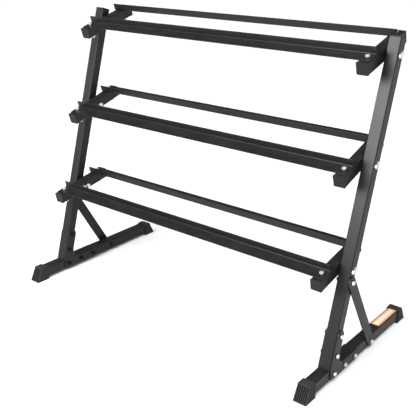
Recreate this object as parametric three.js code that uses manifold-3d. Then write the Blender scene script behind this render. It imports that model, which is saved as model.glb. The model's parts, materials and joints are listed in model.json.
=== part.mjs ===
// Three-tier dumbbell rack: two leaning side frames joined by six angle rails.
// Millimetres, +Z up. X runs along the shelves, -Y is the front, and the origin is
// on the floor at the centre of the footprint.
import * as THREE from 'three';
import { mergeVertices, toCreasedNormals } from 'three/addons/utils/BufferGeometryUtils.js';
import Module from 'manifold-3d';

const wasm = await Module();
wasm.setup();

// ---- Driving dimensions ----

const GAP = 0.3;                    // clearance between pieces that touch
const SPAN = 1220;                  // clear distance between the two uprights
const STEEL_WALL = 2;               // wall of every square tube
const TUBE_CORNER = 3;              // outer corner radius of every tube

const TUBE_WIDTH = 40;              // upright and foot tube, along X
const UPRIGHT_DEPTH = 36;           // upright tube, front to back
const UPRIGHT_PAST_SHELF = 34;      // upright past the top shelf, along the front face
const LEAN = THREE.MathUtils.degToRad(16.4);

const FOOT_HEIGHT = 40;             // foot tube, top to bottom
const FOOT_CLEARANCE = 10;          // floor to the underside of the foot tube
const FOOTPRINT_DEPTH = 680;        // toe of the front cap to toe of the rear cap
const UPRIGHT_SETBACK = 142;        // front toe to the front edge of the upright

const CAP_WALL = 3;                 // rubber around the foot tube
const CAP_SLEEVE = 31;              // length of the cap along the top of the foot
const CAP_TOE = 26;                 // how far the sloped face runs out at the floor
const CAP_GRIP = 22;                // how far the tube goes into the cap
const RIB_COUNT = 7;
const RIB_GROOVE = 3;
const RIB_DEPTH = 2.2;

const TIER_START = 340;             // along the upright to the lowest shelf
const TIER_PITCH = 329;
const TIERS = [
  { name: 'bottom', slope: THREE.MathUtils.degToRad(11.6) },
  { name: 'middle', slope: THREE.MathUtils.degToRad(18) },
  { name: 'top', slope: THREE.MathUtils.degToRad(16.1) },
];

const ARM_SIZE = 38;                // square tube of the shelf arms
const ARM_PAST_FRONT_RAIL = 8.5;    // arm tube past the front rail's seat
const ARM_PAST_REAR_RAIL = 2;       // and past the rear rail's
const ARM_CAP_LIP = 1;              // cap flange past the tube on each side
const ARM_CAP_FLANGE = 3.5;
const PLUG_WALL = 2;                // wall of the hollow plastic plugs
const PLUG_DEPTH = 16;
const UPRIGHT_CAP_FLANGE = 3;

const RAIL_SEAT = 48.5;             // lying flange of the angle rail
const RAIL_RISE = 26.5;             // standing flange
const RAIL_THICKNESS = 2.5;
const RAIL_BEND = 3.5;              // inside radius of the bend
const RAIL_FRONT = 55;              // standing flange of the front rail, ahead of the upright
const RAIL_BACK = 75;               // standing flange of the rear rail, behind that face
const RAIL_END_INSET = 2;           // rail end, short of the arm's outer face

const GUSSET_THICKNESS = 3;
const GUSSET_RISE = 131;            // up the upright
const GUSSET_REACH = 180;           // along the foot, from the upright's front edge
const GUSSET_MARGIN = 2;            // inside the front of the upright and the foot's faces
const GUSSET_LEG = 38;              // width of its leg along the upright
const GUSSET_CORNER = 11;
const GUSSET_HEAD_CORNER = 18;      // at the top of the leg
const GUSSET_KNEE = 32;             // hollow corner between the leg and the foot
const GUSSET_BOLT_INSET = 23;       // outermost foot bolts, in from the ends of the plate
const GUSSET_LEG_BOLTS = [47, 111]; // along the upright's front face

const BRACE_WIDTH = 38;
const BRACE_THICKNESS = 4;
const BRACE_BELOW_SHELF = 54;       // upper bolt, below the lowest shelf
const BRACE_PAST_GUSSET = 90;       // lower bolt, behind the end of the gusset

const BOLT_DIAMETER = 8;
const HOLE_CLEARANCE = 0.8;
const HEX_ACROSS_FLATS = 13;
const HEAD_HEIGHT = 5.3;
const NUT_HEIGHT = 6.5;
const WASHER_DIAMETER = 16;
const WASHER_THICKNESS = 1.6;
const THREAD_END = 4;
const ARM_BOLT_INSET = 0.28;        // arm bolts, in from the upright's front and rear faces,
                                    // as a share of its depth
const ARM_BOLT_DROP = 3;            // below the arm's centre line

const CURVE_FACETS = 6;               // facets of a rounded corner
const DRILL_FACETS = 8;
const WASHER_FACETS = 12;

const LABEL_LENGTH = 137;
const LABEL_THICKNESS = 0.4;
const LABEL_SIDE_MARGIN = 1.5;

// ---- Derived places ----

const UPRIGHT_LENGTH = TIER_START + (TIERS.length - 1) * TIER_PITCH + UPRIGHT_PAST_SHELF;
const FOOT_TOP = FOOT_CLEARANCE + FOOT_HEIGHT;
const FRONT_TOE = -FOOTPRINT_DEPTH / 2;
const UPRIGHT_Y = FRONT_TOE + UPRIGHT_SETBACK;
const INNER_FACE = SPAN / 2;
const OUTER_FACE = INNER_FACE + TUBE_WIDTH;
const FRAME_X = INNER_FACE + TUBE_WIDTH / 2;
const ARM_X = INNER_FACE - GAP - ARM_SIZE / 2;
const ARM_AXIS = -ARM_SIZE / 2;     // height of the arm's centre line below its top face
const ARM_FRONT = RAIL_FRONT + RAIL_SEAT + ARM_PAST_FRONT_RAIL;
const ARM_BACK = RAIL_BACK + RAIL_SEAT + ARM_PAST_REAR_RAIL;
const CAP_MOUTH = FOOTPRINT_DEPTH / 2 - CAP_TOE - CAP_SLEEVE;
const FOOT_HALF_LENGTH = CAP_MOUTH + CAP_GRIP;
const HOLE_RADIUS = (BOLT_DIAMETER + HOLE_CLEARANCE) / 2;
const GUSSET_BOLTS_ALONG = [GUSSET_BOLT_INSET, GUSSET_REACH / 2, GUSSET_REACH - GUSSET_BOLT_INSET];
const BRACE_TOP = TIER_START - BRACE_BELOW_SHELF;
const BRACE_BOTTOM = GUSSET_REACH + BRACE_PAST_GUSSET;
const GUSSET_LEG_MIDDLE = GUSSET_MARGIN + GUSSET_LEG / 2;
const ARM_BOLT_HEIGHT = ARM_AXIS - ARM_BOLT_DROP;
const SIDES = [{ name: 'left', sign: -1 }, { name: 'right', sign: 1 }];

// ---- Materials ----

function material(color, roughness, metalness) {
  return new THREE.MeshStandardMaterial({ color, roughness, metalness });
}

const finish = {
  paint: () => material('#26272a', 0.45, 0.5),
  rubber: () => material('#2b2b2c', 0.85, 0),
  plastic: () => material('#2e2e30', 0.6, 0),
  zinc: () => material('#d7d9db', 0.3, 0.95),
  label: () => material('#e8822e', 0.5, 0),
};

// ---- Solids ----

function toSolid(geometry) {
  const bare = geometry.clone();
  bare.deleteAttribute('normal');
  bare.deleteAttribute('uv');
  const merged = mergeVertices(bare, 1e-4);
  return new wasm.Manifold(new wasm.Mesh({
    numProp: 3,
    vertProperties: new Float32Array(merged.attributes.position.array),
    triVerts: new Uint32Array(merged.index.array),
  }));
}

function toGeometry(solid) {
  const mesh = solid.getMesh();
  const geometry = new THREE.BufferGeometry();
  geometry.setAttribute('position', new THREE.BufferAttribute(mesh.vertProperties, 3));
  geometry.setIndex(new THREE.BufferAttribute(mesh.triVerts, 1));
  return toCreasedNormals(geometry, Math.PI / 5);
}

function subtractAll(solid, cutters) {
  return cutters.reduce((rest, cutter) => rest.subtract(cutter), solid);
}

function addAll(solids) {
  return solids.reduce((whole, piece) => whole.add(piece));
}

// A rectangle with rounded corners, centred on (cx, cy).
function roundedRectangle(width, height, radius, cx = 0, cy = 0) {
  const shape = new THREE.Shape();
  const x = width / 2 - radius;
  const y = height / 2 - radius;
  shape.absarc(cx + x, cy + y, radius, 0, Math.PI / 2);
  shape.absarc(cx - x, cy + y, radius, Math.PI / 2, Math.PI);
  shape.absarc(cx - x, cy - y, radius, Math.PI, 1.5 * Math.PI);
  shape.absarc(cx + x, cy - y, radius, 1.5 * Math.PI, 2 * Math.PI);
  shape.closePath();
  return shape;
}

// A polygon whose corners are rounded, each by its own radius.
function roundedPolygon(corners) {
  const shape = new THREE.Shape();
  corners.forEach((corner, i) => {
    const before = corners[(i + corners.length - 1) % corners.length];
    const after = corners[(i + 1) % corners.length];
    const at = new THREE.Vector2(corner.x, corner.y);
    const back = new THREE.Vector2(before.x, before.y).sub(at).normalize();
    const ahead = new THREE.Vector2(after.x, after.y).sub(at).normalize();
    const half = Math.acos(back.dot(ahead)) / 2;
    const radius = corner.radius;
    const reach = radius / Math.tan(half);
    const centre = back.clone().add(ahead).setLength(radius / Math.sin(half)).add(at);
    const start = back.multiplyScalar(reach).add(at).sub(centre);
    const end = ahead.multiplyScalar(reach).add(at).sub(centre);
    const clockwise = start.cross(end) < 0;
    shape.absarc(centre.x, centre.y, radius, start.angle(), end.angle(), clockwise);
  });
  shape.closePath();
  return shape;
}

function extrude(shape, depth, curveSegments = CURVE_FACETS) {
  return new THREE.ExtrudeGeometry(shape, { depth, bevelEnabled: false, curveSegments });
}

// Turns an extrusion so that it runs along +X, with the shape's x along Y and y along Z.
function alongX(geometry, centre = 0) {
  const turn = new THREE.Matrix4().makeBasis(
    new THREE.Vector3(0, 1, 0), new THREE.Vector3(0, 0, 1), new THREE.Vector3(1, 0, 0));
  geometry.applyMatrix4(turn);
  geometry.computeBoundingBox();
  const box = geometry.boundingBox;
  return geometry.translate(centre - (box.min.x + box.max.x) / 2, 0, 0);
}

// A rectangular tube around the Z axis, open at both ends.
function hollowTube(width, depth, from, to) {
  const length = to - from;
  const outer = roundedRectangle(width, depth, TUBE_CORNER);
  const bore = roundedRectangle(
    width - 2 * STEEL_WALL, depth - 2 * STEEL_WALL, TUBE_CORNER - STEEL_WALL);
  return toSolid(extrude(outer, length).translate(0, 0, from))
    .subtract(toSolid(extrude(bore, length + 2, 1).translate(0, 0, from - 1)));
}

// A round drill through a piece, along X or Z.
function drillX(x, y, z, length = 4 * TUBE_WIDTH) {
  return toSolid(new THREE.CylinderGeometry(HOLE_RADIUS, HOLE_RADIUS, length, DRILL_FACETS)
    .rotateZ(Math.PI / 2).translate(x, y, z));
}

function drillZ(x, y, z, length = 2 * ARM_SIZE) {
  return toSolid(new THREE.CylinderGeometry(HOLE_RADIUS, HOLE_RADIUS, length, DRILL_FACETS)
    .rotateX(Math.PI / 2).translate(x, y, z));
}

function piece(name, solid, look, parent) {
  const mesh = new THREE.Mesh(toGeometry(solid), look);
  mesh.name = name;
  parent.add(mesh);
  return mesh;
}

// ---- Places on the side frame ----

// A point given along the upright and across its depth, as Y and Z on the floor's axes.
function onUpright(along, across) {
  return {
    y: UPRIGHT_Y + along * Math.sin(LEAN) + across * Math.cos(LEAN),
    z: FOOT_TOP + along * Math.cos(LEAN) - across * Math.sin(LEAN),
  };
}

// A point of a shelf's own frame, as it lies in the upright's frame.
function shelfToUpright(tier, y, z) {
  const turn = LEAN + TIERS[tier].slope;
  return {
    y: y * Math.cos(turn) - z * Math.sin(turn),
    z: TIER_START + tier * TIER_PITCH + y * Math.sin(turn) + z * Math.cos(turn),
  };
}

// The places of the arm's two bolts along the arm.
function armBoltPlaces(tier) {
  const turn = LEAN + TIERS[tier].slope;
  const depths = [ARM_BOLT_INSET, 1 - ARM_BOLT_INSET].map((share) => share * UPRIGHT_DEPTH);
  return depths.map((depth) => (depth + ARM_BOLT_HEIGHT * Math.sin(turn)) / Math.cos(turn));
}

const footAxis = FOOT_CLEARANCE + FOOT_HEIGHT / 2;

function gussetBoltPlaces() {
  const up = GUSSET_LEG_BOLTS.map((along) => onUpright(along, GUSSET_LEG_MIDDLE));
  const back = GUSSET_BOLTS_ALONG.map((along) => ({ y: UPRIGHT_Y + along, z: footAxis }));
  return [...up, ...back];
}

function braceBoltPlaces() {
  return [onUpright(BRACE_TOP, UPRIGHT_DEPTH / 2), { y: UPRIGHT_Y + BRACE_BOTTOM, z: footAxis }];
}

// ---- Pieces of a side frame ----

// The upright in its own frame: Z along its front face, Y across its depth.
function upright() {
  const reach = UPRIGHT_DEPTH * Math.tan(LEAN);
  const tube = hollowTube(TUBE_WIDTH, UPRIGHT_DEPTH, -reach, UPRIGHT_LENGTH)
    .translate([0, UPRIGHT_DEPTH / 2, 0]);
  const floorCut = toSolid(new THREE.BoxGeometry(4 * TUBE_WIDTH, 8 * UPRIGHT_DEPTH, 4 * reach)
    .translate(0, 0, -2 * reach).rotateX(LEAN).translate(0, 0, GAP / Math.cos(LEAN)));
  const drills = GUSSET_LEG_BOLTS.map((z) => drillX(0, GUSSET_LEG_MIDDLE, z));
  drills.push(drillX(0, UPRIGHT_DEPTH / 2, BRACE_TOP));
  TIERS.forEach((_, tier) => armBoltPlaces(tier).forEach((a) => {
    const at = shelfToUpright(tier, a, ARM_BOLT_HEIGHT);
    drills.push(drillX(0, at.y, at.z));
  }));
  return subtractAll(tube.subtract(floorCut), drills);
}

// A plug cap around the Z axis: a flange over the tube's end and a hollow plug inside it.
function plugCap(width, depth, lip, flange) {
  const stemWidth = width - 2 * (STEEL_WALL + GAP);
  const stemDepth = depth - 2 * (STEEL_WALL + GAP);
  const stemLength = PLUG_DEPTH + GAP + flange / 2;
  const plate = roundedRectangle(width + 2 * lip, depth + 2 * lip, TUBE_CORNER + lip);
  const stem = roundedRectangle(stemWidth, stemDepth, 1);
  const hollow = roundedRectangle(stemWidth - 2 * PLUG_WALL, stemDepth - 2 * PLUG_WALL, 0.5);
  return toSolid(extrude(plate, flange).translate(0, 0, GAP))
    .add(toSolid(extrude(stem, stemLength, 1).translate(0, 0, -PLUG_DEPTH)))
    .subtract(toSolid(extrude(hollow, PLUG_DEPTH, 1).translate(0, 0, -PLUG_DEPTH - GAP)));
}

function foot() {
  const tube = hollowTube(TUBE_WIDTH, FOOT_HEIGHT, -FOOT_HALF_LENGTH, FOOT_HALF_LENGTH)
    .rotate([-90, 0, 0]).translate([0, 0, footAxis]);
  const along = [...GUSSET_BOLTS_ALONG, BRACE_BOTTOM];
  return subtractAll(tube, along.map((y) => drillX(0, UPRIGHT_Y + y, footAxis)));
}

// The rubber cap of a foot in its own frame: Y runs out to the toe, from the mouth at Y = 0.
function footCap() {
  const top = FOOT_TOP + GAP + CAP_WALL;
  const toe = CAP_SLEEVE + CAP_TOE;
  const profile = roundedPolygon([
    { x: 0, y: 0, radius: 1.5 },
    { x: toe, y: 0, radius: 1.5 },
    { x: CAP_SLEEVE, y: top, radius: 3 },
    { x: 0, y: top, radius: 1 },
  ]);
  const width = TUBE_WIDTH + 2 * (GAP + CAP_WALL);
  const body = toSolid(alongX(extrude(profile, width)));
  const socket = toSolid(extrude(
    roundedRectangle(TUBE_WIDTH + 2 * GAP, FOOT_HEIGHT + 2 * GAP, TUBE_CORNER), CAP_GRIP + GAP + 1)
    .rotateX(-Math.PI / 2).translate(0, -1, footAxis));
  const tilt = Math.atan2(CAP_TOE, top);
  const pitch = width / RIB_COUNT;
  const grooves = [];
  for (let i = 1; i < RIB_COUNT; i += 1) {
    grooves.push(toSolid(new THREE.BoxGeometry(RIB_GROOVE, 2 * RIB_DEPTH, 2 * top)
      .rotateX(tilt).translate(i * pitch - width / 2, CAP_SLEEVE + CAP_TOE / 2, top / 2)));
  }
  return subtractAll(body.subtract(socket), grooves);
}

// A gusset plate in Y and Z, from X = 0 outwards.
function gusset() {
  const inner = GUSSET_MARGIN + GUSSET_LEG;
  const low = FOOT_CLEARANCE + GUSSET_MARGIN;
  const high = FOOT_TOP - GUSSET_MARGIN;
  const frontBase = onUpright(0, GUSSET_MARGIN);
  const frontTop = onUpright(GUSSET_RISE, GUSSET_MARGIN);
  const backTop = onUpright(GUSSET_RISE, inner);
  const kneeAlong = (high - FOOT_TOP + inner * Math.sin(LEAN)) / Math.cos(LEAN);
  const knee = onUpright(kneeAlong, inner);
  const end = UPRIGHT_Y + GUSSET_REACH;
  const outline = roundedPolygon([
    { x: frontBase.y, y: low, radius: GUSSET_CORNER },
    { x: end, y: low, radius: GUSSET_CORNER },
    { x: end, y: high, radius: GUSSET_CORNER },
    { x: knee.y, y: knee.z, radius: GUSSET_KNEE },
    { x: backTop.y, y: backTop.z, radius: GUSSET_HEAD_CORNER },
    { x: frontTop.y, y: frontTop.z, radius: GUSSET_HEAD_CORNER },
    { x: frontBase.y, y: frontBase.z, radius: GUSSET_CORNER },
  ]);
  const plate = toSolid(alongX(extrude(outline, GUSSET_THICKNESS)));
  return subtractAll(plate, gussetBoltPlaces().map((at) => drillX(0, at.y, at.z)));
}

// The flat brace, with a round end about each bolt.
function brace() {
  const [upper, lower] = braceBoltPlaces();
  const angle = Math.atan2(upper.z - lower.z, upper.y - lower.y);
  const radius = BRACE_WIDTH / 2;
  const outline = new THREE.Shape();
  outline.absarc(upper.y, upper.z, radius, angle - Math.PI / 2, angle + Math.PI / 2);
  outline.absarc(lower.y, lower.z, radius, angle + Math.PI / 2, angle + 1.5 * Math.PI);
  outline.closePath();
  const plate = toSolid(alongX(extrude(outline, BRACE_THICKNESS, 3 * CURVE_FACETS)));
  return subtractAll(plate, [upper, lower].map((at) => drillX(0, at.y, at.z)));
}

// ---- Pieces of a shelf, in the shelf's frame: Y up the slope, Z off the arms' top faces ----

const seatCentre = RAIL_THICKNESS + (RAIL_SEAT - RAIL_THICKNESS) / 2;
const railBoltPlaces = [-RAIL_FRONT - seatCentre, RAIL_BACK + seatCentre];

function arm(tier) {
  const tube = hollowTube(ARM_SIZE, ARM_SIZE, -ARM_FRONT, ARM_BACK)
    .rotate([-90, 0, 0]).translate([0, 0, ARM_AXIS]);
  const sideways = armBoltPlaces(tier).map((y) => drillX(0, y, ARM_BOLT_HEIGHT));
  const downwards = railBoltPlaces.map((y) => drillZ(0, y, ARM_AXIS));
  return subtractAll(tube, [...sideways, ...downwards]);
}

// The angle rail: the standing flange at Y = 0, the seat lying away from it towards +Y.
function rail() {
  const length = SPAN - 2 * (GAP + RAIL_END_INSET);
  const t = RAIL_THICKNESS;
  const corner = RAIL_BEND + t;
  const profile = new THREE.Shape();
  profile.absarc(corner, corner, corner, Math.PI, 1.5 * Math.PI);
  profile.absarc(RAIL_SEAT - t / 2, t / 2, t / 2, -Math.PI / 2, Math.PI / 2);
  profile.absarc(corner, corner, RAIL_BEND, 1.5 * Math.PI, Math.PI, true);
  profile.absarc(t / 2, RAIL_RISE - t / 2, t / 2, 0, Math.PI);
  profile.closePath();
  const body = toSolid(alongX(extrude(profile, length)));
  const holes = [-ARM_X, ARM_X].map((x) => drillZ(x, seatCentre, 0));
  return subtractAll(body, holes);
}

// A hex bolt down the Z axis, with washers and nut: it clamps everything from Z = 0 to -grip.
function bolt(grip) {
  const hexRadius = HEX_ACROSS_FLATS / Math.sqrt(3);
  const headBase = GAP + WASHER_THICKNESS;
  const nutTop = -grip - GAP - WASHER_THICKNESS;
  const end = nutTop - NUT_HEIGHT - THREAD_END;
  const stack = [
    [hexRadius, 6, headBase, headBase + HEAD_HEIGHT],
    [WASHER_DIAMETER / 2, WASHER_FACETS, GAP, headBase],
    [BOLT_DIAMETER / 2, DRILL_FACETS, end, headBase + HEAD_HEIGHT / 2],
    [WASHER_DIAMETER / 2, WASHER_FACETS, nutTop, nutTop + WASHER_THICKNESS],
    [hexRadius, 6, nutTop - NUT_HEIGHT, nutTop],
  ];
  return addAll(stack.map(([radius, facets, from, to]) => toSolid(
    new THREE.CylinderGeometry(radius, radius, to - from, facets)
      .rotateX(Math.PI / 2).translate(0, 0, (from + to) / 2))));
}

// ---- Assembly ----

const rack = new THREE.Group();

const leaning = new THREE.Group();
leaning.position.set(0, UPRIGHT_Y, FOOT_TOP);
leaning.rotation.x = -LEAN;
rack.add(leaning);

function addSideFrame(side) {
  const x = side.sign * FRAME_X;
  piece(`${side.name}_upright`, upright(), finish.paint(), leaning).position.x = x;
  const lid = plugCap(TUBE_WIDTH, UPRIGHT_DEPTH, 0, UPRIGHT_CAP_FLANGE);
  piece(`${side.name}_upright_cap`, lid, finish.plastic(), leaning)
    .position.set(x, UPRIGHT_DEPTH / 2, UPRIGHT_LENGTH);

  piece(`${side.name}_foot`, foot(), finish.paint(), rack).position.x = x;
  const ends = [{ name: 'rear', sign: 1 }, { name: 'front', sign: -1 }];
  for (const end of ends) {
    const cap = piece(`${side.name}_foot_cap_${end.name}`, footCap(), finish.rubber(), rack);
    cap.position.set(x, end.sign * CAP_MOUTH, 0);
    cap.rotation.z = end.sign > 0 ? 0 : Math.PI;
  }

  const plateShift = GAP + GUSSET_THICKNESS / 2;
  piece(`${side.name}_gusset_outer`, gusset(), finish.paint(), rack)
    .position.x = side.sign * (OUTER_FACE + plateShift);
  piece(`${side.name}_gusset_inner`, gusset(), finish.paint(), rack)
    .position.x = side.sign * (INNER_FACE - plateShift);
  piece(`${side.name}_brace`, brace(), finish.paint(), rack)
    .position.x = side.sign * (OUTER_FACE + GAP + BRACE_THICKNESS / 2);
}

function addShelf(tier) {
  const { name, slope } = TIERS[tier];
  const shelf = new THREE.Group();
  shelf.position.z = TIER_START + tier * TIER_PITCH;
  shelf.rotation.x = LEAN + slope;
  leaning.add(shelf);

  for (const side of SIDES) {
    const x = side.sign * ARM_X;
    piece(`${name}_arm_${side.name}`, arm(tier), finish.paint(), shelf).position.x = x;
    const frontCap = piece(`${name}_arm_cap_front_${side.name}`,
      plugCap(ARM_SIZE, ARM_SIZE, ARM_CAP_LIP, ARM_CAP_FLANGE), finish.plastic(), shelf);
    frontCap.position.set(x, -ARM_FRONT, ARM_AXIS);
    frontCap.rotation.x = Math.PI / 2;
    const rearCap = piece(`${name}_arm_cap_rear_${side.name}`,
      plugCap(ARM_SIZE, ARM_SIZE, ARM_CAP_LIP, ARM_CAP_FLANGE), finish.plastic(), shelf);
    rearCap.position.set(x, ARM_BACK, ARM_AXIS);
    rearCap.rotation.x = -Math.PI / 2;

    const armBolt = piece(`${name}_arm_bolt_${side.name}`,
      bolt(TUBE_WIDTH + GAP + ARM_SIZE), finish.zinc(), shelf);
    armBolt.position.set(side.sign * OUTER_FACE, armBoltPlaces(tier)[0], ARM_BOLT_HEIGHT);
    armBolt.rotation.y = side.sign * Math.PI / 2;

    const railGrip = RAIL_THICKNESS + GAP + ARM_SIZE;
    ['front', 'rear'].forEach((end, i) => {
      piece(`${name}_rail_bolt_${end}_${side.name}`, bolt(railGrip), finish.zinc(), shelf)
        .position.set(x, railBoltPlaces[i], GAP + RAIL_THICKNESS);
    });
  }

  const rear = piece(`${name}_rail_rear`, rail(), finish.paint(), shelf);
  rear.position.set(0, RAIL_BACK, GAP);
  const front = piece(`${name}_rail_front`, rail().rotate([0, 0, 180]), finish.paint(), shelf);
  front.position.set(0, -RAIL_FRONT, GAP);
}

function addLabel() {
  const width = TUBE_WIDTH - 2 * TUBE_CORNER - 2 * LABEL_SIDE_MARGIN;
  const sheet = toSolid(new THREE.BoxGeometry(width, LABEL_LENGTH, LABEL_THICKNESS));
  piece('foot_label', sheet, finish.label(), rack).position.set(
    FRAME_X, CAP_MOUTH - GAP - LABEL_LENGTH / 2, FOOT_TOP + GAP + LABEL_THICKNESS / 2);
}

SIDES.forEach(addSideFrame);
TIERS.forEach((_, tier) => addShelf(tier));
addLabel();

export default rack;
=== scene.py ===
"""The looks of a three-tier steel dumbbell rack, built around its CAD solids.

The steel pieces keep their CAD shape and get a powder coat. The rubber and plastic caps,
the bolts and the sticker are modelled here in more detail and stand for their CAD nodes.
Lengths are in metres, with the front of the rack towards -Y.
"""

import json
import math

import bmesh
import bpy
from mathutils import Matrix, Vector

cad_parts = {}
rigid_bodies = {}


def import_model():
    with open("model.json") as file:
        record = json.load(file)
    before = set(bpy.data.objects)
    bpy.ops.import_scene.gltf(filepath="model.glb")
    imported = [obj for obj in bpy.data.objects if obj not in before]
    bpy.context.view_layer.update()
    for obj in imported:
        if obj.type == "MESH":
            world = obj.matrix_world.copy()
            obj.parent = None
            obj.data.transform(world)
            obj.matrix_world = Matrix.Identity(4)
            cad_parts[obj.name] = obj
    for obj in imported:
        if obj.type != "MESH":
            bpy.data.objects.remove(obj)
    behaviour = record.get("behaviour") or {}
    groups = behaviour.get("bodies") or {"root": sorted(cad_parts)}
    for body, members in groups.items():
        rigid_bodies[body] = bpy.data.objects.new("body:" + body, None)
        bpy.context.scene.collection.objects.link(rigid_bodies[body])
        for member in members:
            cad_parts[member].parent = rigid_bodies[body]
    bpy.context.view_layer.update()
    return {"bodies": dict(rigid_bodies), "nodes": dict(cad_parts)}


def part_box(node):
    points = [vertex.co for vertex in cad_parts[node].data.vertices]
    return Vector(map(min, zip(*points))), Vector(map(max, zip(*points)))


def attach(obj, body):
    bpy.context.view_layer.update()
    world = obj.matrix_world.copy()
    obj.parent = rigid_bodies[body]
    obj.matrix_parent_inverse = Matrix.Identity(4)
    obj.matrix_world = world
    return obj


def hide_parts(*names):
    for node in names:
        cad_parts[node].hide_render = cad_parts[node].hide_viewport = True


bl_info = {
    "name": "Dumbbell Rack",
    "version": (1, 0, 0),
    "blender": (4, 5, 0),
    "location": "View3D > Sidebar > Rack",
    "description": "Finishes, caps, bolts, sticker and studio of a three-tier dumbbell rack",
    "category": "Object",
}

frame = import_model()

NODES = frame["nodes"]
BODY = next(iter(frame["bodies"]))
SIDES = {"left": -1, "right": 1}
TIERS = ("bottom", "middle", "top")
ENDS = {"front": -1, "rear": 1}
MM = 0.001

# Bolts through the side frames: up the upright from the foot, behind the upright's front
# face, or back along the foot from the upright's front edge. These repeat the places of the
# CAD's holes, and have to be changed with them.
GUSSET_LEG_BOLTS = (47 * MM, 111 * MM)
GUSSET_LEG_DEPTH = 21 * MM
GUSSET_FOOT_BOLTS = (23 * MM, 90 * MM, 157 * MM)
BRACE_UPPER_BOLT = 286 * MM
BRACE_UPPER_DEPTH = 18 * MM
BRACE_LOWER_BOLT = 270 * MM
PLATE_GAP = 0.3 * MM

# Hex heads and nuts: the width of the flat top, as a share of the width across the flats, and
# the slope and height of the cone that turns their corners off.
HEX_RIM = 0.93
HEX_SLOPE = math.radians(30)
HEX_CONE_RISE = 7 * MM

# Foot caps: the plain borders below and above the ribs, and how exactly a groove is found.
BELOW_RIBS = 4 * MM
ABOVE_RIBS = 3.5 * MM
GROOVE_TOLERANCE = 0.3 * MM
GROOVE_EDGE = 0.3 * MM

# Tube plugs: outer plates, the rim of an arm's plug past its tube, and the hollow stem.
ARM_PLUG_LIP = 1 * MM
ARM_PLUG_PLATE = 3.3 * MM
TOP_PLUG_PLATE = 2.8 * MM
PLUG_CORNER = 3 * MM
PLUG_BORDER = 1.6 * MM
PLUG_STEM_WALL = 2 * MM
PLUG_EDGE = 0.8 * MM

# Colours that dust, wear and painted shade in the foot caps' grooves mix into the finishes.
DUST = (0.33, 0.33, 0.32)
STICKER_DUST = (0.45, 0.43, 0.40)
WORN_COAT = (0.16, 0.16, 0.17)
WORN_ZINC = (0.93, 0.93, 0.94)
GROOVE_SHADE = (0.001, 0.001, 0.001)
RULE_INK = (0.35, 0.36, 0.40)

# Studio: the camera, the floor, the lights and what they point at.
CAMERA_PLACE = (1.5441, -1.8944, 1.3346)
CAMERA_TURN = (math.radians(68.63), 0.0, math.radians(39.18))
SENSOR_WIDTH = 36.0
FLOOR_SIZE = 80
FLOOR_DROP = 0.0005
FRONT_SOFTBOX = {"size": 1.6, "place": (-0.5, -2.7, 1.9), "target": (0.6, 0, 0.8)}
LEFT_SOFTBOX = {"size": 1.6, "place": (-3.2, -2.9, 1.7), "target": (0, 0, 0.7)}
SIDE_SOFTBOX = {"size": 1.8, "place": (2.8, 2.1, 0.7), "target": (0.6, 0, 0.7)}
OVERHEAD_PLACE = (2.0, -2.5, 4.5)
OVERHEAD_DIRECTION = (-0.35, 0.45, -0.82)
OVERHEAD_ANGLE = math.radians(70)
WALL_TOP = 0.5
HORIZON_LEVEL = 0.6
WALL_TOP_LEVEL = 0.05

# ---- Sizes and colours that a user would change ----


def length(name, description, default, smallest=0.0):
    return bpy.props.FloatProperty(
        name=name, description=description, default=default, min=smallest,
        unit="LENGTH", precision=5,
    )


def share(name, description, default):
    return bpy.props.FloatProperty(
        name=name, description=description, default=default, min=0.0, max=1.0,
        subtype="FACTOR",
    )


def color(name, description, default):
    return bpy.props.FloatVectorProperty(
        name=name, description=description, default=default, min=0.0, max=1.0,
        size=3, subtype="COLOR",
    )


class RackFinishes(bpy.types.PropertyGroup):
    """Colours and surface of the rack's materials"""

    coat: color("Powder coat", "Colour of the powder coat on the steel", (0.0065, 0.0067, 0.0071))
    coat_roughness: share("Coat roughness", "Roughness of the powder coat", 0.37)
    rubber: color("Rubber", "Colour of the foot caps", (0.014, 0.014, 0.0143))
    plastic: color("Plastic", "Colour of the tube plugs", (0.008, 0.008, 0.0083))
    zinc: color("Zinc", "Colour of the plating on bolts, washers and nuts", (0.83, 0.84, 0.86))
    dark_fastener: color("Dark washers and nuts", "Colour of the black washers and nuts", (0.012, 0.012, 0.013))
    sticker: color("Sticker", "Main colour of the sticker", (0.92, 0.36, 0.10))
    sticker_band: color("Sticker band", "Colour of the band along the sticker", (0.76, 0.76, 0.77))
    wear: share("Edge wear", "How far the coat is worn lighter on sharp edges", 0.25)
    dust: share("Dust", "How much dust lies on faces that look up", 0.05)


class RackFasteners(bpy.types.PropertyGroup):
    """Sizes of the hex bolts, their washers and nuts"""

    thread: length("Thread", "Outside diameter of the thread", 8 * MM)
    pitch: length("Pitch", "Pitch of the thread", 1.25 * MM)
    hex_flats: length("Across flats", "Head and nut across the flats", 13 * MM)
    head: length("Head height", "Height of the bolt head", 5.3 * MM)
    nut: length("Nut height", "Height of the nut", 6.5 * MM)
    washer: length("Washer", "Outside diameter of the washers", 16 * MM)
    washer_thickness: length("Washer thickness", "Thickness of a washer", 1.6 * MM)
    thread_end: length("Thread end", "Thread that stands out of the nut", 4 * MM)
    short_end: length("Short thread end", "The same, on the bolts of gussets and braces", 1.5 * MM)


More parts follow.
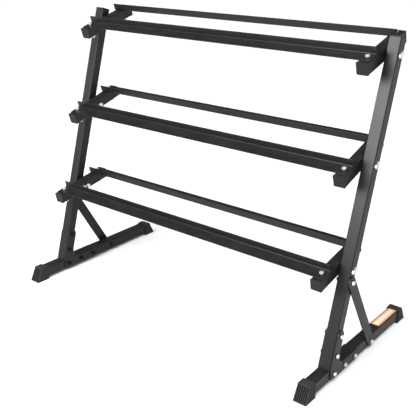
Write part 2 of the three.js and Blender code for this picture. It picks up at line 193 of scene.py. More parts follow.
class RackCaps(bpy.types.PropertyGroup):
    """Sizes of the rubber foot caps and of the tube plugs"""

    toe: length("Toe", "How far the sloped face of a foot cap runs out at the floor", 26 * MM)
    wall: length("Foot cap wall", "Rubber at the sides and top of the tube", 3 * MM)
    pad: length("Pad", "Rubber under the tube", 9.7 * MM)
    grip: length("Grip", "How far the tube goes into the foot cap", 22.3 * MM)
    ribs: bpy.props.IntProperty(
        name="Ribs", description="Ribs on the sloped face", default=7, min=2,
    )
    groove: length("Groove", "Width of the grooves between the ribs", 3.2 * MM)
    groove_depth: length("Groove depth", "Depth of the grooves between the ribs", 3.6 * MM)
    edge: length("Edge radius", "Radius of the outer edges of a cap", 1.2 * MM)
    plug_wall: length("Plug clearance", "Tube wall and clearance around a plug's stem", 2.3 * MM)
    plug_stem: length("Plug stem", "Length of a plug inside the tube", 16 * MM)


class RackSticker(bpy.types.PropertyGroup):
    """Sizes of the sticker on the right foot"""

    corner: length("Corner", "Radius of the sticker's corners", 2 * MM)
    band: length("Band", "Width of the band along the sticker", 15 * MM)
    margin: length("Margin", "Sticker past the ends of its band", 5 * MM)
    rule: length("Rule", "Width of the thin line along the band", 1.2 * MM)


class RackStudio(bpy.types.PropertyGroup):
    """Floor, lights and camera"""

    floor: color("Floor", "Colour of the floor", (0.93, 0.93, 0.93))
    floor_bounce: share("Floor bounce", "Light that the floor throws back on the rack", 0.68)
    left_light: bpy.props.FloatProperty(
        name="Left light", description="Power of the softbox in front on the left",
        default=21.0, min=0.0, unit="POWER",
    )
    side_light: bpy.props.FloatProperty(
        name="Side light", description="Power of the softbox behind on the right",
        default=8.0, min=0.0, unit="POWER",
    )
    front_light: bpy.props.FloatProperty(
        name="Front light", description="Power of the softbox in front", default=130.0,
        min=0.0, unit="POWER",
    )
    sun: bpy.props.FloatProperty(
        name="Overhead light", description="Strength of the wide, even light from above",
        default=4.2, min=0.0,
    )
    sky: bpy.props.FloatProperty(
        name="Surround", description="Brightness of the studio walls", default=1.0, min=0.0,
    )
    focal_length: bpy.props.FloatProperty(
        name="Focal length", description="Focal length of the camera", default=0.06166,
        min=0.001, unit="CAMERA",
    )


# ---- Selecting and shaping ----


def deselect_all():
    bpy.ops.object.select_all(action="DESELECT")


def take(*objects):
    """Selects only these objects, with the first one active."""
    deselect_all()
    for item in objects:
        item.select_set(True)
    bpy.context.view_layer.objects.active = objects[0]


def edit(item):
    take(item)
    bpy.ops.object.mode_set(mode="EDIT")


def leave_edit():
    bpy.ops.object.mode_set(mode="OBJECT")


def pick_faces(item, test):
    """Selects the faces whose centre and normal pass the test."""
    bpy.ops.mesh.select_mode(type="FACE")
    bpy.ops.mesh.select_all(action="DESELECT")
    mesh = bmesh.from_edit_mesh(item.data)
    mesh.normal_update()
    for face in mesh.faces:
        face.select_set(test(face.calc_center_median(), face.normal))
    bmesh.update_edit_mesh(item.data)


def pick_edges(item, test):
    """Selects the edges whose two ends pass the test."""
    bpy.ops.mesh.select_mode(type="EDGE")
    bpy.ops.mesh.select_all(action="DESELECT")
    mesh = bmesh.from_edit_mesh(item.data)
    for line in mesh.edges:
        line.select_set(test(line.verts[0].co, line.verts[1].co))
    mesh.select_flush_mode()
    bmesh.update_edit_mesh(item.data)


def near(a, b, tolerance=0.01 * MM):
    return abs(a - b) < tolerance


def move(vector):
    bpy.ops.transform.translate(value=vector)


def extrude_by(vector):
    bpy.ops.mesh.extrude_region_move(TRANSFORM_OT_translate={"value": vector})


def cut(point, normal):
    """Cuts the whole mesh along a plane and keeps both halves."""
    bpy.ops.mesh.select_all(action="SELECT")
    bpy.ops.mesh.bisect(plane_co=point, plane_no=normal)


def box(name, low, high):
    """A cuboid between two corners, with its place in its mesh."""
    low, high = Vector(low), Vector(high)
    deselect_all()
    bpy.ops.mesh.primitive_cube_add(size=1, location=(low + high) / 2)
    item = bpy.context.object
    item.scale = high - low
    item.name = name
    bpy.ops.object.transform_apply(location=True, rotation=True, scale=True)
    return item


def prism(name, radius, bottom, top, sides):
    """A cylinder around the Z axis between two heights."""
    deselect_all()
    bpy.ops.mesh.primitive_cylinder_add(
        vertices=sides, radius=radius, depth=top - bottom, location=(0, 0, (bottom + top) / 2)
    )
    item = bpy.context.object
    item.name = name
    bpy.ops.object.transform_apply(location=True, rotation=True, scale=True)
    return item


def round_edges(item, width, segments=2, angle=35):
    """Rounds the edges that are sharper than the angle, with a bevel that is applied."""
    take(item)
    bevel = item.modifiers.new("Rounded edges", "BEVEL")
    bevel.width = width
    bevel.segments = segments
    bevel.limit_method = "ANGLE"
    bevel.angle_limit = math.radians(angle)
    bevel.use_clamp_overlap = True
    bpy.ops.object.modifier_apply(modifier=bevel.name)


def intersect(item, cutter):
    """Keeps what item and cutter share, and removes the cutter."""
    take(item)
    boolean = item.modifiers.new("Shared part", "BOOLEAN")
    boolean.operation = "INTERSECT"
    boolean.solver = "EXACT"
    boolean.object = cutter
    bpy.ops.object.modifier_apply(modifier=boolean.name)
    bpy.data.objects.remove(cutter)


def join(name, parts):
    take(*parts)
    bpy.ops.object.join()
    item = bpy.context.object
    item.name = name
    return item


def smooth(item, angle=32):
    take(item)
    bpy.ops.object.shade_smooth_by_angle(angle=math.radians(angle))


def mark_faces(item, name, test=lambda face: True):
    """Marks the faces that pass the test with 1, and the others with 0, for the material."""
    layer = item.data.attributes.new(name=name, type="FLOAT", domain="FACE")
    layer.data.foreach_set("value", [float(test(face)) for face in item.data.polygons])


# ---- Places, read from the CAD nodes ----


def corners_of(node):
    """The distinct vertex places of a CAD node."""
    return {tuple(round(value, 6) for value in vertex.co) for vertex in NODES[node].data.vertices}


def turned_box(node, turn):
    """The box of a CAD node in axes that are turned by the rotation, as two corners."""
    back = turn.to_3x3().inverted()
    points = [back @ Vector(point) for point in corners_of(node)]
    low = Vector([min(point[i] for point in points) for i in range(3)])
    high = Vector([max(point[i] for point in points) for i in range(3)])
    return low, high


def middle_of(node):
    """The average of a CAD node's distinct vertex places."""
    points = corners_of(node)
    return Vector([sum(point[i] for point in points) / len(points) for i in range(3)])


def shelf_turn(tier):
    """The rotation of a shelf about X, from the line between its two rails."""
    line = middle_of(f"{tier}_rail_rear") - middle_of(f"{tier}_rail_front")
    return Matrix.Rotation(math.atan2(line.z, line.y), 4, "X")


def upright_turn():
    """The rotation of the uprights about X, with their Z axis up along the tube.

    Holes pull the average of the vertices off the tube's axis, so this is 0.05 degrees short
    of the tube's own lean.
    """
    line = middle_of("right_upright_cap") - middle_of("right_upright")
    return Matrix.Rotation(-math.atan2(line.y, line.z), 4, "X")


def place_copy(master, name, matrix, slot, *stands_for):
    """A copy of a finished master with its own mesh, moved to its place in the mesh itself."""
    item = bpy.data.objects.new(name, master.data.copy())
    item.data.name = name
    item.data.transform(matrix)
    bpy.context.scene.collection.objects.link(item)
    belongs(item, slot, *stands_for)
    return item


def belongs(item, slot, *stands_for):
    """Ties a new piece to the rack's body, and hides the CAD nodes it stands for. The slot is not
    used.
    """
    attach(item, BODY)
    if stands_for:
        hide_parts(*stands_for)


def remove_master(master):
    mesh = master.data
    bpy.data.objects.remove(master)
    bpy.data.meshes.remove(mesh)


# ---- Shader nodes ----


def add(tree, kind, sockets=None, **settings):
    """Adds a node, sets its settings, and fills or links its inputs."""
    node = tree.nodes.new(kind)
    for name, value in settings.items():
        setattr(node, name, value)
    for name, value in (sockets or {}).items():
        fill(tree, node.inputs[name], value)
    return node


def fill(tree, socket, value):
    if isinstance(value, bpy.types.NodeSocket):
        tree.links.new(value, socket)
    elif isinstance(value, bpy.types.bpy_prop_array) or (
        socket.type == "RGBA" and len(value) == 3
    ):
        socket.default_value = (*value, 1.0)
    else:
        socket.default_value = value


def sums(tree, operation, first, second=0.0, third=0.0, clamp=False):
    node = add(tree, "ShaderNodeMath", operation=operation, use_clamp=clamp)
    for socket, value in zip(node.inputs, (first, second, third)):
        fill(tree, socket, value)
    return node.outputs[0]


def blend_colors(tree, factor, first, second):
    node = add(tree, "ShaderNodeMix", data_type="RGBA")
    fill(tree, node.inputs["Factor"], factor)
    fill(tree, node.inputs[6], first)
    fill(tree, node.inputs[7], second)
    return node.outputs[2]


def between(tree, value, low, high, to_low=0.0, to_high=1.0):
    """Maps a value from one range to another, held inside it."""
    sockets = {"Value": value, "From Min": low, "From Max": high,
               "To Min": to_low, "To Max": to_high}
    return add(tree, "ShaderNodeMapRange", sockets, clamp=True).outputs["Result"]


def start_group(name, inputs, outputs):
    """A new shader node group with its named sockets, given as {name: (kind, default)}."""
    tree = bpy.data.node_groups.new(name, "ShaderNodeTree")
    for label, (kind, default) in inputs.items():
        socket = tree.interface.new_socket(label, in_out="INPUT", socket_type=kind)
        if default is not None:
            socket.default_value = default
    for label, kind in outputs.items():
        tree.interface.new_socket(label, in_out="OUTPUT", socket_type=kind)
    start = tree.nodes.new("NodeGroupInput")
    end = tree.nodes.new("NodeGroupOutput")
    return tree, start.outputs, end


def coat_texture_group():
    """The fine orange peel of a powder coat, and slow changes of its tone."""
    tree, given, end = start_group(
        "Powder Coat Texture",
        {"Vector": ("NodeSocketVector", None), "Peel Scale": ("NodeSocketFloat", 650.0),
         "Tone Scale": ("NodeSocketFloat", 9.0)},
        {"Height": "NodeSocketFloat", "Tone": "NodeSocketFloat"},
    )
    peel = add(tree, "ShaderNodeTexNoise",
               {"Vector": given["Vector"], "Scale": given["Peel Scale"], "Detail": 2.0,
                "Roughness": 0.45})
    tone = add(tree, "ShaderNodeTexNoise",
               {"Vector": given["Vector"], "Scale": given["Tone Scale"], "Detail": 4.0,
                "Roughness": 0.6})
    fill(tree, end.inputs["Height"], peel.outputs["Fac"])
    fill(tree, end.inputs["Tone"], between(tree, tone.outputs["Fac"], 0.3, 0.7))
    return tree


def edge_wear_group():
    """A mask that is 1 on the sharpest outer edges, broken up by noise."""
    tree, given, end = start_group(
        "Edge Wear",
        {"Vector": ("NodeSocketVector", None), "Reach": ("NodeSocketFloat", 1.2 * MM),
         "Amount": ("NodeSocketFloat", 0.3)},
        {"Mask": "NodeSocketFloat"},
    )
    rounded = add(tree, "ShaderNodeBevel", {"Radius": given["Reach"]}, samples=4)
    shape = add(tree, "ShaderNodeNewGeometry")
    turn = add(tree, "ShaderNodeVectorMath",
               {0: rounded.outputs["Normal"], 1: shape.outputs["Normal"]},
               operation="DOT_PRODUCT")
    edge = between(tree, turn.outputs["Value"], 0.99, 0.8)
    patches = add(tree, "ShaderNodeTexNoise",
                  {"Vector": given["Vector"], "Scale": 55.0, "Detail": 5.0, "Roughness": 0.65})
    broken = between(tree, patches.outputs["Fac"], 0.42, 0.62)
    fill(tree, end.inputs["Mask"],
         sums(tree, "MULTIPLY", sums(tree, "MULTIPLY", edge, broken), given["Amount"]))
    return tree


def dust_group():
    """A mask of thin dust on the faces that look up."""
    tree, given, end = start_group(
        "Settled Dust",
        {"Vector": ("NodeSocketVector", None), "Amount": ("NodeSocketFloat", 0.2)},
        {"Mask": "NodeSocketFloat"},
    )
    shape = add(tree, "ShaderNodeNewGeometry")
    parts = add(tree, "ShaderNodeSeparateXYZ", {"Vector": shape.outputs["Normal"]})
    upward = between(tree, parts.outputs["Z"], 0.55, 1.0)
    cloud = add(tree, "ShaderNodeTexNoise",
                {"Vector": given["Vector"], "Scale": 28.0, "Detail": 7.0, "Roughness": 0.7})
    specks = add(tree, "ShaderNodeTexNoise",
                 {"Vector": given["Vector"], "Scale": 1400.0, "Detail": 1.0})
    layer = sums(tree, "ADD", between(tree, cloud.outputs["Fac"], 0.35, 0.75, 0.0, 0.7),
                 between(tree, specks.outputs["Fac"], 0.62, 0.75, 0.0, 0.6))
    fill(tree, end.inputs["Mask"],
         sums(tree, "MULTIPLY", sums(tree, "MULTIPLY", layer, upward), given["Amount"]))
    return tree


def moulded_grain_group():
    """The pebbled grain of moulded rubber and plastic."""
    tree, given, end = start_group(
        "Moulded Grain",
        {"Vector": ("NodeSocketVector", None), "Grain Scale": ("NodeSocketFloat", 1500.0)},
        {"Height": "NodeSocketFloat", "Tone": "NodeSocketFloat"},
    )
    pebbles = add(tree, "ShaderNodeTexVoronoi",
                  {"Vector": given["Vector"], "Scale": given["Grain Scale"], "Randomness": 1.0},
                  feature="SMOOTH_F1")
    tone = add(tree, "ShaderNodeTexNoise",
               {"Vector": given["Vector"], "Scale": 60.0, "Detail": 5.0, "Roughness": 0.6})
    fill(tree, end.inputs["Height"], pebbles.outputs["Distance"])
    fill(tree, end.inputs["Tone"], between(tree, tone.outputs["Fac"], 0.3, 0.7))
    return tree


def start_material(name):
    material = bpy.data.materials.new(name)
    material.use_nodes = True
    tree = material.node_tree
    place = add(tree, "ShaderNodeTexCoord").outputs["Object"]
    return material, tree, tree.nodes["Principled BSDF"], place


def use_group(tree, name, sockets):
    node = tree.nodes.new("ShaderNodeGroup")
    node.node_tree = bpy.data.node_groups[name]
    for label, value in sockets.items():
        fill(tree, node.inputs[label], value)
    return node.outputs


def make_powder_coat(finishes):
    material, tree, shader, place = start_material("Powder coat")
    texture = use_group(tree, "Powder Coat Texture", {"Vector": place})
    wear = use_group(tree, "Edge Wear", {"Vector": place, "Amount": finishes.wear})["Mask"]
    dust = use_group(tree, "Settled Dust", {"Vector": place, "Amount": finishes.dust})["Mask"]
    light_coat = [value * 1.35 for value in finishes.coat]
    coat = blend_colors(tree, texture["Tone"], finishes.coat, light_coat)
    worn = blend_colors(tree, wear, coat, WORN_COAT)
    dusted = blend_colors(tree, dust, worn, DUST)
    fill(tree, shader.inputs["Base Color"], dusted)
    base = finishes.coat_roughness
    rough = between(tree, texture["Tone"], 0.0, 1.0, base - 0.04, base + 0.05)
    fill(tree, shader.inputs["Roughness"], sums(tree, "MULTIPLY_ADD", dust, 0.8, rough, clamp=True))
    shader.inputs["Specular IOR Level"].default_value = 0.3
    soft_edges = add(tree, "ShaderNodeBevel", {"Radius": 0.7 * MM}, samples=4)
    bump = add(tree, "ShaderNodeBump",
               {"Strength": 0.25, "Distance": 0.2 * MM, "Height": texture["Height"],
                "Normal": soft_edges.outputs["Normal"]})
    fill(tree, shader.inputs["Normal"], bump.outputs["Normal"])
    return material


def make_moulded(name, base_color, roughness, grain_scale, depth, dust_amount):
    material, tree, shader, place = start_material(name)
    grain = use_group(tree, "Moulded Grain", {"Vector": place, "Grain Scale": grain_scale})
    dust = use_group(tree, "Settled Dust", {"Vector": place, "Amount": dust_amount})["Mask"]
    lighter = [value * 1.5 for value in base_color]
    tone = blend_colors(tree, grain["Tone"], base_color, lighter)
    dusted = blend_colors(tree, dust, tone, DUST)
    # Faces marked in the foot caps' grooves get painted shade: a near-black colour and full
    # roughness.
    recess = add(tree, "ShaderNodeAttribute", attribute_name="recess").outputs["Fac"]
    fill(tree, shader.inputs["Base Color"], blend_colors(tree, recess, dusted, GROOVE_SHADE))
    rough = between(tree, grain["Tone"], 0.0, 1.0, roughness - 0.05, roughness + 0.06)
    fill(tree, shader.inputs["Roughness"], sums(tree, "MAXIMUM", rough, recess))
    shader.inputs["Specular IOR Level"].default_value = 0.22
    bump = add(tree, "ShaderNodeBump",
               {"Strength": 0.35, "Distance": depth, "Height": grain["Height"]})
    fill(tree, shader.inputs["Normal"], bump.outputs["Normal"])
    return material


def make_zinc(finishes):
    """Zinc plating, and a near-black colour on the faces that are marked for it."""
    material, tree, shader, place = start_material("Zinc plating")
    cloud = add(tree, "ShaderNodeTexNoise",
                {"Vector": place, "Scale": 220.0, "Detail": 5.0, "Roughness": 0.6})
    grain = add(tree, "ShaderNodeTexNoise", {"Vector": place, "Scale": 2600.0, "Detail": 2.0})
    wear = use_group(tree, "Edge Wear",
                     {"Vector": place, "Reach": 0.5 * MM, "Amount": 0.5})["Mask"]
    dull = [value * 0.78 for value in finishes.zinc]
    plating = blend_colors(tree, between(tree, cloud.outputs["Fac"], 0.35, 0.65), dull,
                           finishes.zinc)
    bright = blend_colors(tree, wear, plating, WORN_ZINC)
    # Faces marked on the washers, and on the nuts of the plate bolts, are coloured near black.
    black = add(tree, "ShaderNodeAttribute", attribute_name="dark_fastener").outputs["Fac"]
    fill(tree, shader.inputs["Base Color"],
         blend_colors(tree, black, bright, finishes.dark_fastener))
    shader.inputs["Metallic"].default_value = 0.7
    fill(tree, shader.inputs["Roughness"],
         between(tree, cloud.outputs["Fac"], 0.3, 0.7, 0.36, 0.46))
    bump = add(tree, "ShaderNodeBump",
               {"Strength": 0.12, "Distance": 0.05 * MM, "Height": grain.outputs["Fac"]})
    fill(tree, shader.inputs["Normal"], bump.outputs["Normal"])
    return material


def make_sticker_vinyl(finishes, sizes, centre, half_length):
    """Printed vinyl: a pale band along the middle with a thin grey line in it."""
    material, tree, shader, place = start_material("Sticker vinyl")
    centred = add(tree, "ShaderNodeMapping", {"Vector": place, "Location": -centre})
    offset = add(tree, "ShaderNodeSeparateXYZ", {"Vector": centred.outputs["Vector"]})
    across = sums(tree, "ABSOLUTE", offset.outputs["X"])
    along = sums(tree, "ABSOLUTE", offset.outputs["Y"])
    soft = 0.15 * MM
    band_end = half_length - sizes.margin
    inside = between(tree, along, band_end + soft, band_end - soft)
    strip = between(tree, across, sizes.band / 2 + soft, sizes.band / 2 - soft)
    band = sums(tree, "MULTIPLY", inside, strip)
    line = between(tree, across, sizes.rule / 2 + soft, sizes.rule / 2 - soft)
    rule = sums(tree, "MULTIPLY", inside, line)
    print_cloud = add(tree, "ShaderNodeTexNoise",
                      {"Vector": place, "Scale": 420.0, "Detail": 4.0, "Roughness": 0.6})
    faded = [value * 0.88 for value in finishes.sticker]
    ink = blend_colors(tree, print_cloud.outputs["Fac"], faded, finishes.sticker)
    banded = blend_colors(tree, band, ink, finishes.sticker_band)
    ruled = blend_colors(tree, sums(tree, "MULTIPLY", rule, 0.55), banded, RULE_INK)
    dust = use_group(tree, "Settled Dust", {"Vector": place, "Amount": 0.1})["Mask"]
    fill(tree, shader.inputs["Base Color"], blend_colors(tree, dust, ruled, STICKER_DUST))
    fill(tree, shader.inputs["Roughness"],
         between(tree, print_cloud.outputs["Fac"], 0.3, 0.7, 0.36, 0.46))
    bump = add(tree, "ShaderNodeBump",
               {"Strength": 0.1, "Distance": 0.05 * MM, "Height": print_cloud.outputs["Fac"]})
    fill(tree, shader.inputs["Normal"], bump.outputs["Normal"])
    return material


def make_floor_paint(studio):
    """Plain matt paint, paler to the camera than to the light that falls back on the rack."""
    material, tree, shader, place = start_material("Studio floor")
    cloud = add(tree, "ShaderNodeTexNoise",
                {"Vector": place, "Scale": 1.6, "Detail": 5.0, "Roughness": 0.55})
    lighter = [min(1.0, value * 1.02) for value in studio.floor]
    paint = blend_colors(tree, cloud.outputs["Fac"], studio.floor, lighter)
    seen = add(tree, "ShaderNodeLightPath").outputs["Is Camera Ray"]
    mirrored = [value * studio.floor_bounce for value in studio.floor]
    fill(tree, shader.inputs["Base Color"], blend_colors(tree, seen, mirrored, paint))
    fill(tree, shader.inputs["Roughness"],
         between(tree, cloud.outputs["Fac"], 0.3, 0.7, 0.7, 0.8))
    return material


def give(item, material):
    """Puts the material on every face of a piece, without touching its shape."""
    if not item.material_slots:
        item.data.materials.append(material)
    for holder in item.material_slots:
        holder.material = material


# ---- Operators, one for each group of pieces ----


class RACK_OT_coat_steel(bpy.types.Operator):
    """Give the tubes, rails, gussets and braces their powder coat"""

    bl_idname = "rack.coat_steel"
    bl_label = "Coat the steel"

    def execute(self, context):
        for group in (coat_texture_group, edge_wear_group, dust_group, moulded_grain_group):
            group()
        coat = make_powder_coat(context.scene.rack_finishes)
        for name, node in NODES.items():
            if node.material_slots[0].name.startswith("paint"):
                give(node, coat)
        return {"FINISHED"}


class RACK_OT_make_foot_caps(bpy.types.Operator):
    """Model the ribbed rubber caps on the ends of the feet"""

    bl_idname = "rack.make_foot_caps"
    bl_label = "Make the foot caps"

    def execute(self, context):
        caps = context.scene.rack_caps
        finishes = context.scene.rack_finishes
        rubber = make_moulded("Moulded rubber", finishes.rubber, 0.66, 1300.0, 0.12 * MM, 0.06)
        low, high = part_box("right_foot_cap_rear")
        width, depth, height = high - low
        cap = self.shape(caps, width, depth, height)
        give(cap, rubber)
        for side in SIDES:
            for end, sign in ENDS.items():
                node = f"{side}_foot_cap_{end}"
                low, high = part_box(node)
                mouth = low.y if sign > 0 else high.y
                turn = Matrix.Identity(4) if sign > 0 else Matrix.Rotation(math.pi, 4, "Z")
                matrix = Matrix.Translation(((low.x + high.x) / 2, mouth, 0.0)) @ turn
                place_copy(cap, f"{side}_{end}_foot_rubber", matrix, "rubber", node)
        remove_master(cap)
        return {"FINISHED"}

    def shape(self, caps, width, depth, height):
        """One cap with its mouth at Y = 0 and its toe towards +Y."""
        cap = box("Foot cap", (-width / 2, 0, 0), (width / 2, depth, height))
        edit(cap)
        pick_edges(cap, lambda a, b: near(a.y, depth) and near(b.y, depth)
                   and near(a.z, height) and near(b.z, height))
        move((0, -caps.toe, 0))
        pick_faces(cap, lambda centre, normal: normal.y < -0.9)
        bpy.ops.mesh.inset(thickness=caps.wall)
        pick_edges(cap, lambda a, b: near(a.z, caps.wall) and near(b.z, caps.wall)
                   and near(a.y, 0) and near(b.y, 0))
        move((0, 0, caps.pad - caps.wall))
        pick_faces(cap, lambda centre, normal: normal.y < -0.9
                   and abs(centre.x) < MM and caps.pad < centre.z < height - caps.wall)
        extrude_by((0, caps.grip, 0))
        leave_edit()
        round_edges(cap, caps.edge, segments=3)
        self.cut_grooves(cap, caps, width, depth, height)
        round_edges(cap, GROOVE_EDGE, segments=2, angle=50)
        smooth(cap)
        return cap

    def cut_grooves(self, cap, caps, width, depth, height):
        """Sinks the grooves between the ribs, and marks the faces in them for painted shade in the
        material.
        """
        slope = Vector((0, height, caps.toe)).normalized()
        pitch = width / caps.ribs
        middles = [(i - caps.ribs / 2) * pitch for i in range(1, caps.ribs)]
        ends = (BELOW_RIBS, height - ABOVE_RIBS)
        edit(cap)
        for middle in middles:
            for sign in (-1, 1):
                cut((middle + sign * caps.groove / 2, 0, 0), (1, 0, 0))
        for level in ends:
            cut((0, 0, level), (0, 0, 1))

        def in_groove(centre, normal):
            return (
                normal.dot(slope) > 0.99
                and ends[0] < centre.z < ends[1]
                and any(abs(centre.x - middle) < caps.groove / 2 for middle in middles)
            )

        pick_faces(cap, in_groove)
        extrude_by(-slope * caps.groove_depth)
        leave_edit()
        surface = slope.dot(Vector((0, depth, 0)))

        def below_ribs(face):
            sunk = surface - slope.dot(face.center)
            return (
                GROOVE_TOLERANCE < sunk < caps.groove_depth + GROOVE_TOLERANCE
                and ends[0] - GROOVE_TOLERANCE < face.center.z < ends[1] + GROOVE_TOLERANCE
                and abs(face.center.x) < middles[-1] + caps.groove / 2 + GROOVE_TOLERANCE
            )

        # The marked groove faces get painted shade: the material makes them near black and fully
        # rough.
        mark_faces(cap, "recess", below_ribs)


class RACK_OT_make_tube_plugs(bpy.types.Operator):
    """Model the plastic plugs in the ends of the shelf arms and uprights"""

    bl_idname = "rack.make_tube_plugs"
    bl_label = "Make the tube plugs"

    def execute(self, context):
        caps = context.scene.rack_caps
        finishes = context.scene.rack_finishes
        plastic = make_moulded("Moulded plastic", finishes.plastic, 0.5, 1900.0, 0.06 * MM, 0.05)
        arm_plug = None
        for tier in TIERS:
            for end, sign in ENDS.items():
                turn = shelf_turn(tier) @ Matrix.Rotation(-sign * math.pi / 2, 4, "X")
                for side in SIDES:
                    node = f"{tier}_arm_cap_{end}_{side}"
                    low, high = turned_box(node, turn)
                    if arm_plug is None:
                        arm_plug = self.shape(caps, high - low, ARM_PLUG_LIP, ARM_PLUG_PLATE)
                        give(arm_plug, plastic)
                    self.put(arm_plug, f"{tier}_{end}_{side}_arm_plug", turn, low, high, node)
        remove_master(arm_plug)
        turn = upright_turn()
        low, high = turned_box("right_upright_cap", turn)
        top_plug = self.shape(caps, high - low, 0.0, TOP_PLUG_PLATE)
        give(top_plug, plastic)
        for side in SIDES:
            node = f"{side}_upright_cap"
            low, high = turned_box(node, turn)
            self.put(top_plug, f"{side}_upright_plug", turn, low, high, node)
        remove_master(top_plug)
        return {"FINISHED"}

    def put(self, plug, name, turn, low, high, node):
        outer_face = Vector(((low.x + high.x) / 2, (low.y + high.y) / 2, high.z))
        matrix = Matrix.Translation(turn.to_3x3() @ outer_face) @ turn
        place_copy(plug, name, matrix, "plastic", node)

    def shape(self, caps, size, lip, flange):
        """One plug with the middle of its outer face at the origin and its stem towards -Z."""
        half = size / 2
        plug = box("Tube plug", (-half.x, -half.y, -flange), (half.x, half.y, 0))
        edit(plug)
        pick_edges(plug, lambda a, b: near(a.x, b.x) and near(a.y, b.y))
        bpy.ops.mesh.bevel(offset=PLUG_CORNER + lip, segments=5, affect="EDGES")
        leave_edit()
        edit(plug)
        pick_faces(plug, lambda centre, normal: normal.z > 0.9)
        bpy.ops.mesh.inset(thickness=PLUG_BORDER)
        pick_faces(plug, lambda centre, normal: normal.z < -0.9)
        bpy.ops.mesh.inset(thickness=caps.plug_wall + lip)
        extrude_by((0, 0, -caps.plug_stem))
        bpy.ops.mesh.inset(thickness=PLUG_STEM_WALL)
        extrude_by((0, 0, caps.plug_stem - PLUG_STEM_WALL))
        leave_edit()
        round_edges(plug, PLUG_EDGE, segments=3, angle=50)
        smooth(plug)
        return plug


class RACK_OT_make_bolts(bpy.types.Operator):
    """Model the hex bolts with their washers and nuts"""

    bl_idname = "rack.make_bolts"
    bl_label = "Make the bolts"

    def execute(self, context):
        sizes = context.scene.rack_fasteners
        self.zinc = make_zinc(context.scene.rack_finishes)
        self.masters = {}
        for tier in TIERS:
            turn = shelf_turn(tier)
            for side, sign in SIDES.items():
                for end in ENDS:
                    node = f"{tier}_rail_bolt_{end}_{side}"
                    low, high = turned_box(node, turn)
                    self.put(sizes, f"{tier}_{end}_{side}_rail_fastener", turn, low, high, node)
                self.arm_pair(sizes, tier, side, sign)
        self.plate_bolts(sizes)
        for master in self.masters.values():
            remove_master(master)
        return {"FINISHED"}

    def put(self, sizes, name, turn, low, high, *nodes, black_nut=False):
        """A bolt along the Z axis of the turned frame, with its head at the box's upper end."""
        head = Vector(((low.x + high.x) / 2, (low.y + high.y) / 2, high.z))
        reach = round(high.z - low.z, 5)
        kind = (reach, black_nut)
        if kind not in self.masters:
            self.masters[kind] = self.shape(sizes, reach, black_nut)
            give(self.masters[kind], self.zinc)
        matrix = Matrix.Translation(turn.to_3x3() @ head) @ turn
        place_copy(self.masters[kind], name, matrix, "zinc", *nodes)

    def arm_pair(self, sizes, tier, side, sign):
        """The two bolts of an arm: the front one's head is outside, the rear one's inside.

        The rear one is as far from the upright's rear face as the front one from its front
        face. It lands up to 1 mm from its hole, because the lean is only close to the tube's.
        """
        outward = Matrix.Rotation(sign * math.pi / 2, 4, "Y")
        inward = Matrix.Rotation(-sign * math.pi / 2, 4, "Y")
        node = f"{tier}_arm_bolt_{side}"
        low, high = turned_box(node, outward)
        self.put(sizes, f"{tier}_{side}_arm_front_fastener", outward, low, high, node)
        place = middle_of(node)
        lean = upright_turn()
        shelf = shelf_turn(tier)
        across = lean.to_3x3() @ Vector((0, 1, 0))
        along = shelf.to_3x3() @ Vector((0, 1, 0))
        tube_low, tube_high = turned_box(f"{side}_upright", lean)
        depth_now = across.dot(place) - tube_low.y
        step = (tube_high.y - tube_low.y - 2 * depth_now) / across.dot(along)
        shift = inward.to_3x3().inverted() @ (along * step)
        low, high = turned_box(node, inward)
        self.put(sizes, f"{tier}_{side}_arm_rear_fastener", inward, low + shift, high + shift)

    def plate_bolts(self, sizes):
        """The bolts through the gussets and the brace, with their heads outside."""
        lean = upright_turn()
        foot_low, foot_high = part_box("right_foot")
        start = Vector((0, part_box("right_upright")[0].y, foot_high.z))
        foot_axis = (foot_low.z + foot_high.z) / 2

        def up(along, depth):
            return start + lean.to_3x3() @ Vector((0, depth, along))

        def back(along):
            return Vector((0, start.y + along, foot_axis))

        gusset_places = [up(along, GUSSET_LEG_DEPTH) for along in GUSSET_LEG_BOLTS]
        gusset_places += [back(along) for along in GUSSET_FOOT_BOLTS]
        brace_places = [up(BRACE_UPPER_BOLT, BRACE_UPPER_DEPTH), back(BRACE_LOWER_BOLT)]
        for side, sign in SIDES.items():
            turn = Matrix.Rotation(sign * math.pi / 2, 4, "Y")
            plates = [f"{side}_gusset_outer", f"{side}_gusset_inner"]
            for i, place in enumerate(gusset_places):
                self.through(sizes, f"{side}_gusset_fastener_{i + 1}", turn, place, plates)
            for i, place in enumerate(brace_places):
                plates = [f"{side}_brace", f"{side}_upright"]
                self.through(sizes, f"{side}_brace_fastener_{i + 1}", turn, place, plates)

    def through(self, sizes, name, turn, place, plates):
        """A bolt that clamps the two named pieces at a place in Y and Z."""
        boxes = [turned_box(plate, turn) for plate in plates]
        at = turn.to_3x3().inverted() @ place
        top = max(high.z for low, high in boxes) + PLATE_GAP + sizes.washer_thickness + sizes.head
        bottom = (min(low.z for low, high in boxes) - PLATE_GAP - sizes.washer_thickness
                  - sizes.nut - sizes.short_end)
        self.put(sizes, name, turn, Vector((at.x, at.y, bottom)), Vector((at.x, at.y, top)),
                 black_nut=True)

    def hexagon(self, sizes, name, bottom, top, faces):
        """A hex head or nut, with its corners turned off on the given faces."""
        item = prism(name, sizes.hex_flats / math.sqrt(3), bottom, top, 6)
        rim = HEX_RIM * sizes.hex_flats / 2
        rise = top - bottom + HEX_CONE_RISE
        wide = rim + rise / math.tan(HEX_SLOPE)
        for face in faces:
            deselect_all()
            centre = top - rise / 2 if face > 0 else bottom + rise / 2
            radii = (wide, rim) if face > 0 else (rim, wide)
            bpy.ops.mesh.primitive_cone_add(
                vertices=24, radius1=radii[0], radius2=radii[1],
                depth=rise, location=(0, 0, centre),
            )
            cone = bpy.context.object
            bpy.ops.object.transform_apply(location=True, rotation=True, scale=True)
            intersect(item, cone)
        return item

